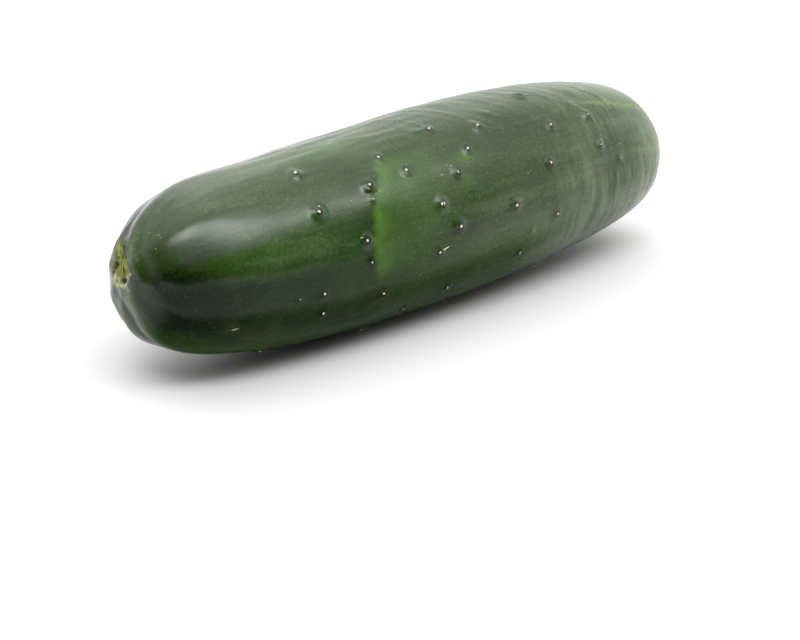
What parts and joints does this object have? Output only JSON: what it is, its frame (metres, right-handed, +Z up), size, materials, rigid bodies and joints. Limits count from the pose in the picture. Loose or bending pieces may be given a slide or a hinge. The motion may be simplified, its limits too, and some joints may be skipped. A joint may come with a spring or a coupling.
{
  "type": "cucumber",
  "caption": "Whole slicing cucumber lying on its side: a long blunt-ended fruit with a ribbed stem end, a torn stem scar and low warts.",
  "frame": {"origin": "under the middle of the fruit, on the surface it rests on", "axes": "+X along the fruit from the stem end to the blossom end, +Z up"},
  "size_m": [0.2073, 0.0612, 0.0602],
  "materials": {
    "skin": "waxy dark green fruit skin with a soft sheen",
    "spine_stub": "dry cream stubs of worn spines, on the warts of the skin",
    "torn_stem": "torn yellow-green fibres in the stem scar"
  },
  "bodies": {
    "root": {"cucumber": "skin"}
  },
  "joints": []
}
